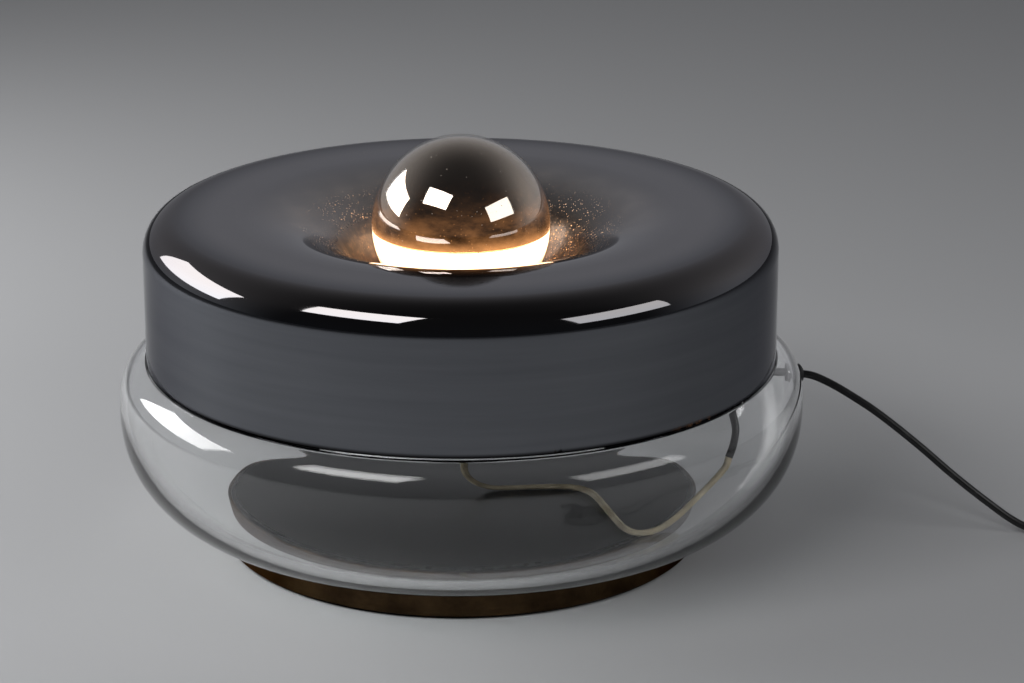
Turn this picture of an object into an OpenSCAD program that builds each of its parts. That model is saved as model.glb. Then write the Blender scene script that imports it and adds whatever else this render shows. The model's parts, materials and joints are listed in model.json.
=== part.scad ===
// Squat glass floor lamp: a clear blown bowl on a brass-banded foot carries a mirrored glass shade.
// The shade folds down into a funnel that holds a screw lampholder and a crown-mirrored globe bulb.
// Millimetres, +Z up, origin on the floor at the lamp's axis. The cord leaves along +X.

/* [Foot] */
// Outer radius of the brass band round the foot
foot_r = 167; // [140:1:180]
// Height of the foot, from the floor to the underside of the bowl
foot_h = 21.5; // [18:0.5:30]
// Wall of the brass band
band_wall = 3; // [2:0.5:5]
// Thickness of the felt under the foot
felt_t = 2; // [1:0.5:3]
// Thickness of the felt pad that the bowl stands on
pad_t = 2; // [1:0.5:3]

/* [Bowl] */
// How far the clear bowl stands out beyond the shade
bowl_reach = 19.5; // [16:0.5:24]
// Height of the bowl, from its underside to the crest of its shoulder
bowl_h = 111.5; // [105:0.5:120]
// Glass thickness of the bowl's side
bowl_wall = 5; // [4:0.5:7]
// Glass thickness of the bowl's floor
bowl_floor = 8; // [6:0.5:12]
// Outer radius of the round between side and floor
bowl_low_round = 72; // [60:1:80]
// Outer radius of the round at the shoulder
bowl_top_round = 21; // [16:1:24]
// Depth of the seat for the shade, below the crest of the shoulder
seat_depth = 1.5; // [1:0.5:2]
// Height of the neck that centres the shade, above its seat
neck_h = 10; // [6:1:14]
// Glass thickness of the neck
neck_wall = 4; // [3:0.5:5]

/* [Shade] */
// Outer radius of the mirrored shade
shade_r = 218.5; // [212:0.5:220]
// Height of the shade, from its lower edge to its top
shade_h = 101.5; // [90:0.5:110]
// Glass thickness of the shade
shade_wall = 4; // [3:0.5:5]
// Radius of the round at the shade's outer top edge
shade_round = 23; // [15:1:30]
// Radius, from the axis, at which the top starts to fall into the funnel
mouth_r = 155; // [150:1:160]
// Radius of the wide round by which the top falls into the funnel
mouth_round = 128; // [122:1:134]
// Slope at which the wide round ends and the lip begins, in degrees
dish_slope = 30; // [28:1:32]
// Radius of the lip's bend into the funnel's cone
lip_round = 35; // [32:1:38]
// Steepest slope of the funnel, in degrees
funnel_slope = 60; // [55:1:65]
// Depth of the funnel, from the shade's top to its bottom flange
funnel_depth = 89; // [84:0.5:94]
// Radius of the round where the funnel meets its bottom flange
throat_round = 12; // [8:1:14]
// Radial slip between shade and neck
shade_slip = 0.3; // [0.2:0.1:0.6]

/* [Lampholder] */
// Outer radius of the holder's threaded shell
shell_r = 19.9; // [19:0.1:21]
// Wall of the threaded shell
shell_wall = 3.5; // [2.5:0.5:4]
// Height of the threaded shell above its collar
shell_h = 32; // [30:0.5:36]
// Outer radius of the collar and of the back cap
cap_r = 23; // [22:0.5:26]
// Height of the back cap
cap_h = 26; // [24:0.5:32]
// Wall of the back cap
cap_wall = 2.5; // [2:0.5:3]
// Outer radius of the two rings that clamp the glass
ring_r = 29.5; // [27:0.5:32]
// Height of the upper clamping ring
ring_h = 5; // [4:0.5:7]
// Thickness of the washers on both sides of the glass
washer_t = 1; // [0.5:0.5:2]
// Bore of the lead's bush in the back cap
bush_bore_r = 2.8; // [2.6:0.1:3]

/* [Bulb] */
// Radius of the globe
globe_r = 62.5; // [55:0.5:64]
// Overall length of the bulb, from contact tip to crown
bulb_len = 172; // [165:1:180]
// Glass thickness of the globe
globe_wall = 0.9; // [0.6:0.1:1.5]
// Radius of the screw cap over its thread
screw_r = 13.1; // [12.8:0.1:13.4]
// Height of the screw cap's straight part
screw_h = 20; // [18:0.5:22]
// Width of the clear strip that the crown mirror leaves above the globe's lower half
mirror_overlap = 1.5; // [0:0.5:6]

/* [Cord] */
// Diameter of the black mains cord
cord_d = 5.5; // [5:0.1:6]
// Diameter of the cream heat-proof lead inside the bowl
lead_d = 5; // [4:0.1:5]
// Drop of the cord hole below the start of the shoulder's round
cord_drop = 6; // [4:0.5:8]
// Angle round the axis at which the cord leaves the bowl
cord_side = 5; // [0:1:10]
// Radius of the grommet's outer flange
grommet_r = 7.5; // [7:0.5:8]
// Turns of the stored coil that lie in each layer
coil_turns = 2.75; // [1.75:1:3.75]
// Radius of the coil's outermost turn
coil_r = 42.5; // [42:0.5:46]
// Step from one turn of the coil to the next, and from layer to layer
coil_step = 6.2; // [6:0.1:6.8]

/* [Switch and plug] */
// Width of the in-line switch
switch_w = 26; // [24:0.5:32]
// Length of the in-line switch
switch_l = 62; // [60:0.5:70]
// Height of the in-line switch without its rocker
switch_h = 15; // [14:0.5:18]
// Wall of the switch housing
switch_wall = 2; // [1.5:0.5:2.5]
// Angle through which the rocker tips
rocker_swing = 16; // [12:1:20]
// Thickness of the plug's body
plug_t = 13.7; // [12:0.1:15]
// Width of the plug's face
plug_w = 35.3; // [32:0.1:38]
// Length of the plug's body
plug_l = 36; // [32:0.5:42]
// Radius of a plug pin
pin_r = 2; // [2:0.1:2.4]
// Length of a plug pin
pin_l = 19; // [18:0.5:20]
// Distance between the plug's pins
pin_gap = 18.6; // [18:0.1:19]

/* [Hidden] */
$fn = 96;
clear = 0.2;
running = 0.08;
arc_step = 5;

// Heights that follow from the foot upwards
bowl_r = shade_r + bowl_reach;
bowl_z = foot_h;
crest_z = bowl_z + bowl_h;
seat_z = crest_z - seat_depth;
shade_top = seat_z + shade_h;
flange_z = shade_top - funnel_depth;
flange_low = flange_z - shade_wall;

// The neck stands inside the shade's wall
neck_r = shade_r - shade_wall - shade_slip;
mouth_open_r = neck_r - neck_wall;
seat_r = shade_r + 0.8;

// Funnel: where its straight cone and its bottom round begin
mouth_z = shade_top - mouth_round;
lip_r = mouth_r - (mouth_round - lip_round) * sin(dish_slope);
lip_z = mouth_z + (mouth_round - lip_round) * cos(dish_slope);
cone_r = lip_r - lip_round * sin(funnel_slope);
cone_z = lip_z + lip_round * cos(funnel_slope);
foot_of_cone_r = cone_r - (cone_z - flange_z) / tan(funnel_slope);
throat_r = foot_of_cone_r - throat_round * tan(funnel_slope / 2);
throat_z = flange_z + throat_round;
shade_hole_r = shell_r + 0.6;

// Lampholder: the collar hangs below the flange, the insert stands on a ledge in the back cap
ring_low_h = ring_h + 1;
shell_top = flange_z + washer_t + ring_h + 2;
collar_top = shell_top - shell_h;
collar_h = 6;
collar_low = collar_top - collar_h;
cap_low = collar_low - cap_h;
cap_round = 12;
shell_bore_r = shell_r - shell_wall;
tip_z = collar_low - 0.5;
insert_r = shell_bore_r - clear;
insert_top = tip_z - 1.5;
insert_h = 10;
insert_low = insert_top - insert_h;
insert_rim_h = 14;
sleeve_r = screw_r + running;
sleeve_wall = 0.5;
sleeve_h = 26;
ledge_h = 2;
bush_r = 4.9;
bush_flange_r = 7.5;
bush_flange_h = 5;
bush_h = 13;
terminal_r = 10;
terminal_head_r = 2.8;
terminal_head_h = 2.2;
terminal_shank_r = 1.5;
terminal_shank_h = 7;
notches = 18;
notch_r = 1.2;

// Sprung centre contact
button_r = 4.5;
button_h = 1.2;
stem_r = 2;
pocket_r = 4.2;
pocket_floor = 2;
stem_below = 2;
spring_r = 3.2;
spring_wire = 0.8;
spring_turns = 4;
spring_low = insert_low + pocket_floor + spring_wire / 2 + 0.1;
spring_high = tip_z - button_h - spring_wire / 2 - 0.1;

// Bulb
globe_z = tip_z + bulb_len - globe_r;
neck_angle = 68;
neck_round = 16;
neck_c = [(globe_r + neck_round) * cos(neck_angle), globe_z - (globe_r + neck_round) * sin(neck_angle)];
contact_h = 1.2;
insulator_h = 3.3;
screw_low = tip_z + contact_h + insulator_h;
taper_h = 3;
screw_top = screw_low + taper_h + screw_h;
screw_wall = 0.4;
glass_end_r = screw_r - screw_wall - clear;
glass_end = screw_top - 5;
mirror_t = 0.4;
filament_r = 16;
filament_wire = 0.5;
filament_z = globe_z - 13;
filament_arc = 330;
stem_top = filament_z - 12;
stem_rod_r = 2.5;
stem_button_r = 4;
lead_foot_z = glass_end + 29;
lead_wire_r = 0.6;
support_angles = [80, 165, 250];

// Cord: hand-laid routes, seen from above the lamp
cord_r = cord_d / 2;
lead_r = lead_d / 2;
bore_r = cord_r + clear;
hole_r = bore_r + 3;
hole_x = bowl_r;
cord_hole_z = crest_z - bowl_top_round - cord_drop;
flange_t = 2.2;
nose_l = 1.6;
function at_hole(r) = [r * cos(cord_side), r * sin(cord_side), cord_hole_z];
hole_mid = at_hole(hole_x - bowl_wall / 2);
hole_in = at_hole(hole_x - bowl_wall - 7);
hole_out = at_hole(hole_x + clear + flange_t + nose_l + 1.2);
switch_at = [bowl_r + 188, -123];
entry_z = 7;
entry_depth = 5;
relief_l = 20;
relief_r = 5.5;
floor_z = cord_r + 0.05;
coil_at = [bowl_r - 30.5, -365];
coil_z = cord_r + 1.05;
coil_side = coil_at.x + coil_r;
plug_at = [coil_side - 14, coil_at.y - coil_r - 35];
plug_z = plug_t / 2;
switch_near = switch_at.y - switch_l / 2;
switch_far = switch_at.y + switch_l / 2;
sleeve_z = crest_z - bowl_top_round - 2;
sleeve_end = [bowl_r - 56, -63, sleeve_z - 35];
lead_low = bowl_z + bowl_floor + lead_r + 0.2;

mains_route = [
    hole_mid, hole_out, [bowl_r + 11, 20.8, 104.6], [bowl_r + 18.5, 19.7, 101.6],
    [bowl_r + 27.5, 17.5, 97.3], [bowl_r + 37.5, 14.6, 91.8],
    [bowl_r + 53, 10, 82.5], [bowl_r + 71, 5, 69.5], [bowl_r + 89, -0.5, 55.5], [bowl_r + 106, -6, 41.5],
    [bowl_r + 123, -11, 28.5], [bowl_r + 136, -14, 19], [bowl_r + 148, -17, 10.8],
    [bowl_r + 159, -19.5, 5.2], [bowl_r + 167, -21, 3.2], [bowl_r + 175, -23.6, floor_z],
    [bowl_r + 181.8, -29.4, floor_z], [bowl_r + 186.4, -37.4, floor_z], [switch_at.x, -46.3, 3.2],
    [switch_at.x, -56, 4.4], [switch_at.x, -63, 5.7], [switch_at.x, switch_far + relief_l + 4, 6.6],
    [switch_at.x, switch_far + relief_l, entry_z], [switch_at.x, switch_far + relief_l / 2, entry_z],
    [switch_at.x, switch_far - entry_depth, entry_z]
];
link_route = [
    [switch_at.x, switch_near + entry_depth, entry_z], [switch_at.x, switch_near - relief_l / 2, entry_z],
    [switch_at.x, switch_near - relief_l, entry_z], [switch_at.x, -186, 5.9], [bowl_r + 187.6, -196, 4.2],
    [bowl_r + 186, -207, 3], [bowl_r + 182.5, -221, floor_z], [bowl_r + 176, -237, floor_z],
    [bowl_r + 167, -254, floor_z], [bowl_r + 156, -269.5, floor_z], [bowl_r + 142.5, -283, floor_z],
    [bowl_r + 126.5, -293, floor_z], [bowl_r + 109, -299, floor_z], [bowl_r + 91, -302.5, floor_z],
    [bowl_r + 73, -304, floor_z], [bowl_r + 55, -304, floor_z], [coil_side + 26, -304, floor_z],
    [coil_side + 16.4, -305.5, floor_z], [coil_side + 7.3, -311.3, floor_z],
    [coil_side + 1.5, -320.4, floor_z], [coil_side, -329, 2.9], [coil_side, -340, 3.2],
    [coil_side, -351, 3.6], [coil_side, coil_at.y + cord_d, coil_z]
];
tail_route = [
    [coil_side, coil_at.y - cord_d, coil_z + coil_step], [coil_side, coil_at.y - 17, 9.8],
    [coil_side - 3, coil_at.y - 28, 8.9], [coil_side - 8, coil_at.y - 38, 7.9],
    [coil_side - 12, coil_at.y - 47, 7.2], [plug_at.x, plug_at.y + relief_l, plug_z],
    [plug_at.x, plug_at.y + relief_l / 2, plug_z], [plug_at.x, plug_at.y - entry_depth, plug_z]
];
sleeve_route = [
    hole_mid, hole_in, [bowl_r - 23, 17, sleeve_z - 2.6], [bowl_r - 33, 8.5, sleeve_z - 1],
    [bowl_r - 42, -6, sleeve_z - 0.5], [bowl_r - 49, -22, sleeve_z - 1],
    [bowl_r - 53, -38, sleeve_z - 2.5], [bowl_r - 54, -50, sleeve_z - 7.5],
    [bowl_r - 52, -57, sleeve_z - 17], [bowl_r - 53, -60.5, sleeve_z - 26.5], sleeve_end
];
lead_route = [
    sleeve_end, sleeve_end - [2.4, 2, 6.8], [172, -71, 60], [164, -78, 52.5], [156, -86, 45.5],
    [147, -95, 39], [137, -103.5, lead_low + 2], [127, -109, lead_low + 0.1], [117, -108.5, lead_low],
    [110, -98, lead_low], [105.5, -81, lead_low], [102, -64, lead_low], [98.5, -47, lead_low],
    [95, -31, lead_low], [90, -16, lead_low], [81, -5, lead_low], [69, 0, lead_low],
    [56, 1.5, lead_low], [43, 1.5, lead_low], [32, 1, lead_low], [22, 0.6, lead_low + 0.6],
    [13.5, 0.3, lead_low + 4], [7, 0.1, lead_low + 10.5], [3, 0, lead_low + 19], [1, 0, lead_low + 28.5],
    [0.2, 0, lead_low + 38], [0, 0, cap_low - 9], [0, 0, cap_low + 4]
];

// Switch
switch_round = 9;
part_z = entry_z;
rocker_w = 11.4;
rocker_l = 21;
rocker_rise = 3;
rocker_gap = 0.4;
pivot_z = switch_h - 4;
axle_r = 1.25;
axle_bore = axle_r + running;
pillar_r = 3.4;
pillar_off = 20;
post_r = 1.4;
post_head_r = 2.6;
post_head_h = 1.4;
contact_off = 6;
bridge_t = 0.8;
contact_top = pivot_z - (axle_r + 2 + bridge_t) * cos(rocker_swing / 2)
    - (contact_off + 2) * sin(rocker_swing / 2) - 0.3;

// Shared shapes

function arc(c, r, from, to) =
    let (n = ceil(abs(to - from) / arc_step))
    [for (i = [0:n]) c + r * [cos(from + (to - from) * i / n), sin(from + (to - from) * i / n)]];

function reversed(p) = [for (i = [len(p) - 1:-1:0]) p[i]];

// All points but the first
function later(p) = [for (i = [1:len(p) - 1]) p[i]];

function unit(v) = v / norm(v);

function heading(p, i) = unit(p[min(i + 1, len(p) - 1)] - p[max(i - 1, 0)]);

function square_to(v, t) = unit(v - (v * t) * t);

// Directions square to a route, carried along it without twist
function carried(p) =
    [for (i = 0, s = square_to([0, 0.1, 1], heading(p, 0)); i < len(p);
          i = i + 1, s = square_to(s, heading(p, min(i, len(p) - 1)))) s];

// Round tube along a route, one ring of corners at each point
module tube(route, r, sides) {
    s = carried(route);
    n = len(route);
    points = [for (i = [0:n - 1], k = [0:sides - 1])
        let (a = 360 * k / sides)
        route[i] + r * (cos(a) * s[i] + sin(a) * cross(heading(route, i), s[i]))];
    walls = [for (i = [0:n - 2], k = [0:sides - 1])
        let (a = i * sides + k, b = i * sides + (k + 1) % sides)
        each [[a, a + sides, b], [b, a + sides, b + sides]]];
    start = [for (k = [1:sides - 2]) [0, k, k + 1]];
    end = [for (k = [1:sides - 2]) [(n - 1) * sides, (n - 1) * sides + k + 1, (n - 1) * sides + k]];
    polyhedron(points, concat(walls, start, end));
}

module ring_of(inner, outer, low, high) {
    translate([0, 0, low]) difference() {
        cylinder(r = outer, h = high - low);
        translate([0, 0, -1]) cylinder(r = inner, h = high - low + 2);
    }
}

// Half section of a round vessel with a large round below and a small one above
module vessel_half(r, low, high, low_round, top_round) {
    translate([0, low]) square([r - low_round, high - low]);
    translate([0, low + low_round]) square([r - top_round, high - low - low_round]);
    translate([0, low + low_round]) square([r, high - low - low_round - top_round]);
    intersection() {
        translate([r - low_round, low + low_round]) circle(r = low_round);
        translate([0, low]) square([r, low_round]);
    }
    intersection() {
        translate([r - top_round, high - top_round]) circle(r = top_round);
        translate([0, high - top_round]) square([r, top_round]);
    }
}

module slab(w, l, round) {
    translate([-w / 2 + round, -l / 2]) square([w - 2 * round, l]);
    translate([-w / 2, -l / 2 + round]) square([w, l - 2 * round]);
    for (x = [-1, 1], y = [-1, 1])
        translate([x * (w / 2 - round), y * (l / 2 - round)]) circle(r = round);
}

// A straight wire between two points
module wire(a, b, r) {
    d = b - a;
    translate(a)
        rotate([0, acos(d.z / norm(d)), atan2(d.y, d.x)])
            cylinder(r = r, h = norm(d), $fn = 24);
}

// Foot

module foot_felt() {
    color("#151414") cylinder(r = foot_r - band_wall - clear, h = felt_t);
}

module base_band() {
    edge = band_wall / 3;
    color("#4a3a20") rotate_extrude() polygon([
        [foot_r - band_wall, felt_t], [foot_r - edge, felt_t], [foot_r, felt_t + edge],
        [foot_r, foot_h - edge], [foot_r - edge, foot_h], [foot_r - band_wall, foot_h]
    ]);
}

module base_plate() {
    color("#2a2623") translate([0, 0, felt_t])
        cylinder(r = foot_r - band_wall - clear, h = foot_h - felt_t - pad_t);
}

module glass_pad() {
    color("#303133") translate([0, 0, foot_h - pad_t])
        cylinder(r = foot_r - band_wall - clear, h = pad_t);
}

// Bowl

module clear_bowl() {
    color("#c9d3d4", 0.35) difference() {
        rotate_extrude($fn = 180) difference() {
            union() {
                vessel_half(bowl_r, bowl_z, crest_z, bowl_low_round, bowl_top_round);
                translate([mouth_open_r, seat_z - bowl_wall])
                    square([neck_wall, bowl_wall + neck_h - neck_wall / 2]);
                translate([neck_r - neck_wall / 2, seat_z + neck_h - neck_wall / 2])
                    circle(r = neck_wall / 2);
            }
            vessel_half(bowl_r - bowl_wall, bowl_z + bowl_floor, crest_z - bowl_wall,
                bowl_low_round - bowl_wall, bowl_top_round - bowl_wall);
            translate([-1, seat_z - bowl_wall - 1]) square([mouth_open_r + 1, bowl_wall + neck_h + 2]);
            translate([neck_r, seat_z]) square([seat_r - neck_r, seat_depth + 1]);
        }
        rotate([0, 0, cord_side]) translate([hole_x - 3 * bowl_wall, 0, cord_hole_z]) rotate([0, 90, 0])
            cylinder(r = hole_r + clear, h = 5 * bowl_wall);
    }
}

// Rubber bush in the cord hole, with a low rounded lip outside
module cord_grommet() {
    inner_x = hole_x - bowl_wall - flange_t;
    outer_x = hole_x + clear;
    color("#17171a") translate([0, 0, cord_hole_z]) rotate([0, 90, cord_side]) rotate_extrude() polygon([
        [bore_r, inner_x], [grommet_r - 1, inner_x], [grommet_r - 1, inner_x + flange_t - 1.2],
        [hole_r, inner_x + flange_t - 1.2], [hole_r, outer_x], [grommet_r, outer_x],
        [grommet_r, outer_x + flange_t - 1], [grommet_r - 1, outer_x + flange_t],
        [bore_r + 1, outer_x + flange_t + nose_l], [bore_r, outer_x + flange_t + nose_l]
    ]);
}

// Shade

module mirror_shade() {
    outer = concat(
        [[shade_r, seat_z]],
        arc([shade_r - shade_round, shade_top - shade_round], shade_round, 0, 90),
        arc([mouth_r, mouth_z], mouth_round, 90, 90 + dish_slope),
        later(arc([lip_r, lip_z], lip_round, 90 + dish_slope, 90 + funnel_slope)),
        arc([throat_r, throat_z], throat_round, funnel_slope - 90, -90),
        [[shade_hole_r, flange_z]]);
    inner = concat(
        [[shade_r - shade_wall, seat_z]],
        arc([shade_r - shade_round, shade_top - shade_round], shade_round - shade_wall, 0, 90),
        arc([mouth_r, mouth_z], mouth_round - shade_wall, 90, 90 + dish_slope),
        later(arc([lip_r, lip_z], lip_round - shade_wall, 90 + dish_slope, 90 + funnel_slope)),
        arc([throat_r, throat_z], throat_round + shade_wall, funnel_slope - 90, -90),
        [[shade_hole_r, flange_low]]);
    color("#5d5a62") rotate_extrude($fn = 180) polygon(concat(outer, reversed(inner)));
}

// Lampholder

module washer_upper() {
    color("#b9b2a2") ring_of(shell_r + clear, ring_r - 1.5, flange_z, flange_z + washer_t);
}

module washer_lower() {
    color("#b9b2a2") ring_of(shell_r + clear, ring_r - 1.5, flange_low - washer_t, flange_low);
}

module clamp_ring(low, high) {
    color("#1c1a19") difference() {
        ring_of(shell_r + clear, ring_r, low, high);
        for (i = [0:notches - 1]) rotate([0, 0, 360 * i / notches])
            translate([ring_r, 0, low - 1]) cylinder(r = notch_r, h = high - low + 2, $fn = 24);
    }
}

module ring_upper() {
    clamp_ring(flange_z + washer_t, flange_z + washer_t + ring_h);
}

module ring_lower() {
    clamp_ring(flange_low - washer_t - ring_low_h, flange_low - washer_t);
}

module holder_shell() {
    color("#1c1a19") difference() {
        union() {
            translate([0, 0, collar_low]) cylinder(r = cap_r, h = collar_h);
            translate([0, 0, collar_low]) cylinder(r = shell_r, h = shell_top - collar_low);
        }
        translate([0, 0, collar_low - 1]) cylinder(r = shell_bore_r, h = shell_top - collar_low + 2);
    }
}

// Porcelain block with a rim round the screw sleeve and a pocket for the sprung contact
module holder_insert() {
    color("#e9e4d8") difference() {
        translate([0, 0, insert_low]) cylinder(r = insert_r, h = insert_h + insert_rim_h);
        translate([0, 0, insert_top])
            cylinder(r = sleeve_r + sleeve_wall + clear / 2, h = insert_rim_h + 1);
        translate([0, 0, insert_low + pocket_floor]) cylinder(r = pocket_r, h = insert_h);
        translate([0, 0, insert_low - 1]) cylinder(r = stem_r + running, h = insert_h);
        for (s = [-1, 1]) translate([s * terminal_r, 0, insert_low - 1])
            cylinder(r = terminal_shank_r + running, h = terminal_shank_h + 1.2);
    }
}

module screw_sleeve() {
    color("#b08d4a") ring_of(sleeve_r, sleeve_r + sleeve_wall, insert_top, insert_top + sleeve_h);
}

module holder_cap() {
    inner_round = cap_round - cap_wall;
    ledge_r = terminal_r + terminal_head_r + 1;
    color("#1c1a19") rotate_extrude() polygon(concat(
        [[bush_r + clear, cap_low]],
        arc([cap_r - cap_round, cap_low + cap_round], cap_round, -90, 0),
        [[cap_r, collar_low], [cap_r - cap_wall, collar_low], [cap_r - cap_wall, insert_low],
         [ledge_r, insert_low], [ledge_r, insert_low - ledge_h],
         [cap_r - cap_wall, insert_low - ledge_h]],
        arc([cap_r - cap_round, cap_low + cap_round], inner_round, 0, -90),
        [[bush_r + clear, cap_low + cap_wall]]));
}

module lead_bush() {
    color("#26241f") difference() {
        union() {
            translate([0, 0, cap_low - bush_flange_h]) cylinder(r = bush_r, h = bush_h);
            translate([0, 0, cap_low - bush_flange_h]) cylinder(r = bush_flange_r, h = bush_flange_h);
        }
        translate([0, 0, cap_low - bush_flange_h - 1]) cylinder(r = bush_bore_r, h = bush_h + 2);
    }
}

module terminal_screws() {
    color("#b08d4a") for (s = [-1, 1]) translate([s * terminal_r, 0, insert_low]) difference() {
        union() {
            translate([0, 0, -terminal_head_h]) cylinder(r = terminal_head_r, h = terminal_head_h);
            translate([0, 0, -terminal_head_h])
                cylinder(r = terminal_shank_r, h = terminal_head_h + terminal_shank_h);
        }
        translate([-terminal_head_r, -0.4, -terminal_head_h - 1]) cube([2 * terminal_head_r, 0.8, 2]);
    }
}

module contact_button() {
    color("#c19a52") {
        translate([0, 0, tip_z - button_h]) cylinder(r = button_r, h = button_h);
        translate([0, 0, insert_low - stem_below])
            cylinder(r = stem_r, h = tip_z - button_h / 2 - insert_low + stem_below);
    }
}

module contact_spring() {
    rings = 8;
    turn = 360 / rings;
    steps = spring_turns * rings;
    rise = (spring_high - spring_low) / steps;
    color("#9a9a98") tube(
        [for (i = [0:steps]) [spring_r * cos(turn * i), spring_r * sin(turn * i), spring_low + rise * i]],
        spring_wire / 2, 6);
}

// Bulb

module bulb_globe() {
    outer = concat(
        [[0, globe_z + globe_r]],
        arc([0, globe_z], globe_r, 90 - arc_step, -neck_angle),
        arc(neck_c, neck_round, 180 - neck_angle, 180),
        [[glass_end_r, screw_top], [glass_end_r, glass_end]]);
    inner = concat(
        [[0, globe_z + globe_r - globe_wall]],
        arc([0, globe_z], globe_r - globe_wall, 90 - arc_step, -neck_angle),
        arc(neck_c, neck_round + globe_wall, 180 - neck_angle, 180),
        [[glass_end_r - globe_wall, screw_top], [glass_end_r - globe_wall, glass_end]]);
    color("#f2e6c4", 0.4) rotate_extrude() polygon(concat(outer, reversed(inner)));
}

module bulb_crown() {
    r = globe_r - globe_wall - clear;
    low = -asin(mirror_overlap / globe_r);
    color("#8f8a84") rotate_extrude() polygon(concat(
        [[0, globe_z + r]],
        arc([0, globe_z], r, 90 - arc_step, low),
        arc([0, globe_z], r - mirror_t, low, 90 - arc_step),
        [[0, globe_z + r - mirror_t]]));
}

module bulb_screw_cap() {
    low_r = screw_r - 3.5;
    color("#b9b6ac") rotate_extrude() polygon([
        [0, screw_low], [low_r, screw_low], [screw_r, screw_low + taper_h], [screw_r, screw_top],
        [screw_r - screw_wall, screw_top], [screw_r - screw_wall, screw_low + taper_h],
        [low_r - screw_wall, screw_low + screw_wall], [0, screw_low + screw_wall]
    ]);
}

module bulb_insulator() {
    color("#121212") translate([0, 0, tip_z + contact_h])
        cylinder(r1 = button_r + 0.6, r2 = screw_r - 3.6, h = insulator_h);
}

module bulb_tip() {
    color("#b9b6ac") translate([0, 0, tip_z]) cylinder(r = button_r, h = contact_h);
}

module bulb_stem() {
    flare_r = glass_end_r - globe_wall - clear;
    color("#e8e4d6", 0.5) rotate_extrude() polygon([
        [0, glass_end + 0.5], [flare_r, glass_end + 0.5], [flare_r, glass_end + 3],
        [stem_button_r, lead_foot_z - 5], [stem_rod_r, lead_foot_z], [stem_rod_r, stem_top - 1],
        [stem_button_r, stem_top], [stem_button_r, stem_top + 3], [0, stem_top + 3]
    ]);
}

module bulb_wires() {
    color("#a8a49c") for (a = [0, filament_arc]) rotate([0, 0, a])
        wire([stem_rod_r + lead_wire_r + 0.1, 0, lead_foot_z],
             [filament_r - filament_wire - lead_wire_r, 0, filament_z], lead_wire_r);
}

module bulb_hooks() {
    color("#a8a49c") for (a = support_angles) rotate([0, 0, a])
        wire([stem_button_r + 0.5, 0, stem_top + 1.5],
             [filament_r - filament_wire - 0.4, 0, filament_z], 0.3);
}

module filament() {
    color("#fff2c8") rotate_extrude(angle = filament_arc)
        translate([filament_r, filament_z]) circle(r = filament_wire, $fn = 24);
}

// Leads and cord

module lead_sleeve() {
    color("#141416") tube(sleeve_route, cord_r, 10);
}

module inner_lead() {
    color("#b7a277") tube(lead_route, lead_r, 10);
}

module mains_cord() {
    color("#141416") tube(mains_route, cord_r, 10);
}

module cord_link() {
    color("#141416") tube(link_route, cord_r, 10);
}

module cord_tail() {
    color("#141416") tube(tail_route, cord_r, 10);
}

// Two layers: the lower spirals in, climbs over half a turn and the upper spirals out again
coil_rings = 24;
coil_all = 2 * coil_turns + 0.5;
function coil_in(t) = min(t, coil_all - t);
function coil_point(t) = let (r = coil_r - coil_step * coil_in(t))
    [coil_at.x + r * cos(360 * t), coil_at.y - r * sin(360 * t),
     coil_z + coil_step * min(1, max(0, (t - coil_turns) * 2))];
coil_route = concat(
    [[coil_at.x + coil_r, coil_at.y + cord_d, coil_z]],
    [for (i = [0:round(coil_all * coil_rings)]) coil_point(i / coil_rings)],
    [[coil_at.x + coil_r, coil_at.y - cord_d, coil_z + coil_step]]);
coil_gap = min([for (i = [0:len(coil_route) - 1], j = [i + 12:1:len(coil_route) - 1])
    norm(coil_route[i] - coil_route[j])]) - cord_d;

module cord_coil() {
    echo(coil_gap = coil_gap);
    color("#141416") tube(coil_route, cord_r, 6);
}

// Strap round all the turns at the coil's left side
module cord_tie() {
    t = 0.8;
    slack = 0.15;
    inner = coil_r - coil_step * (coil_turns - 0.25) - cord_r - slack;
    w = coil_r - coil_step / 2 + cord_r + slack - inner;
    h = cord_d + coil_step + 2 * slack;
    low = coil_z - cord_r - slack;
    color("#2b2b2e") translate([coil_at.x - inner - w / 2, coil_at.y + 2, low + h / 2])
        rotate([90, 0, 0]) linear_extrude(4) difference() {
            slab(w + 2 * t, h + 2 * t, 2);
            slab(w, h, 1.2);
        }
}

// Switch

module at_switch() {
    translate([switch_at.x, switch_at.y, 0]) children();
}

module cord_entries() {
    translate([0, -switch_l, part_z]) rotate([-90, 0, 0]) cylinder(r = bore_r, h = 2 * switch_l);
}

module switch_base() {
    color("#1b1b1d") at_switch() difference() {
        union() {
            difference() {
                linear_extrude(part_z) slab(switch_w, switch_l, switch_round);
                translate([0, 0, switch_wall]) linear_extrude(part_z)
                    slab(switch_w - 2 * switch_wall, switch_l - 4 * switch_wall, switch_round - switch_wall);
            }
            for (s = [-1, 1]) translate([0, s * pillar_off, 0.5]) cylinder(r = pillar_r, h = part_z - 0.5);
        }
        cord_entries();
        for (s = [-1, 1]) translate([0, s * pillar_off, -1]) {
            cylinder(r = post_r + running, h = part_z + 2);
            cylinder(r = post_head_r + clear, h = post_head_h + 1.3);
        }
    }
}

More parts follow.
